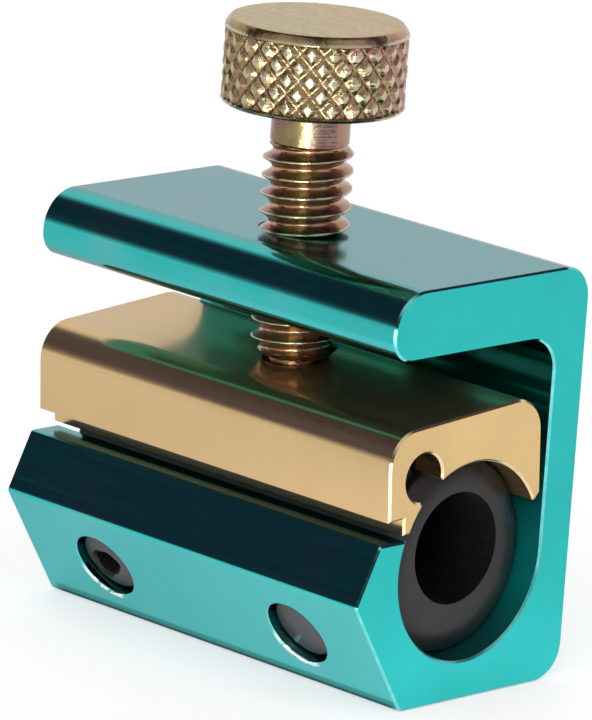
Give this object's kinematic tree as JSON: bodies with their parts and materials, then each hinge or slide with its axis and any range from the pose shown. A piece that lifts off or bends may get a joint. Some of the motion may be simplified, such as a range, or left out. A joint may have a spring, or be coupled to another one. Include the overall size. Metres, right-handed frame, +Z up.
{
  "type": "cable lubricating clamp",
  "caption": "Thumb-screw clamp with a split rubber seal that grips a control cable so that lubricant can be sprayed into it.",
  "frame": {"origin": "on the base face, straight below the axis of the channel's round groove, at mid-length", "axes": "+X along the cable bore towards the housing end, -Y towards the open side of the channel, +Z up along the thumb screw"},
  "size_m": [0.0348, 0.0208, 0.0442],
  "materials": {
    "teal_anodised": "bright teal anodised, drawn lines along the extrusion",
    "gold_anodised": "gold anodised, satin",
    "zinc_plated_steel": "yellow-passivated zinc plate, turned and knurled",
    "spring_steel": "oiled spring steel",
    "black_rubber": "matt moulded rubber with a polished edge"
  },
  "bodies": {
    "channel": {"channel_body": "teal_anodised", "seal_lower": "black_rubber"},
    "bar": {"clamp_bar": "gold_anodised", "seal_upper": "black_rubber"},
    "screw": {"thumb_screw": "zinc_plated_steel", "tip_retaining_ring": "spring_steel"}
  },
  "joints": [
    {"name": "bar_lift", "type": "slide", "parent": "channel", "child": "bar", "axis": [0, 0, 1], "range_m": [0, 0.00381]},
    {"name": "screw_turn", "type": "hinge", "parent": "bar", "child": "screw", "pos_m": [0, -0.0007, 0.03], "axis": [0, 0, 1], "range_deg": [0, 1080]}
  ],
  "couplings": [
    {"joint": "bar_lift", "follows": "screw_turn", "m_per_rad": 0.00020213}
  ]
}
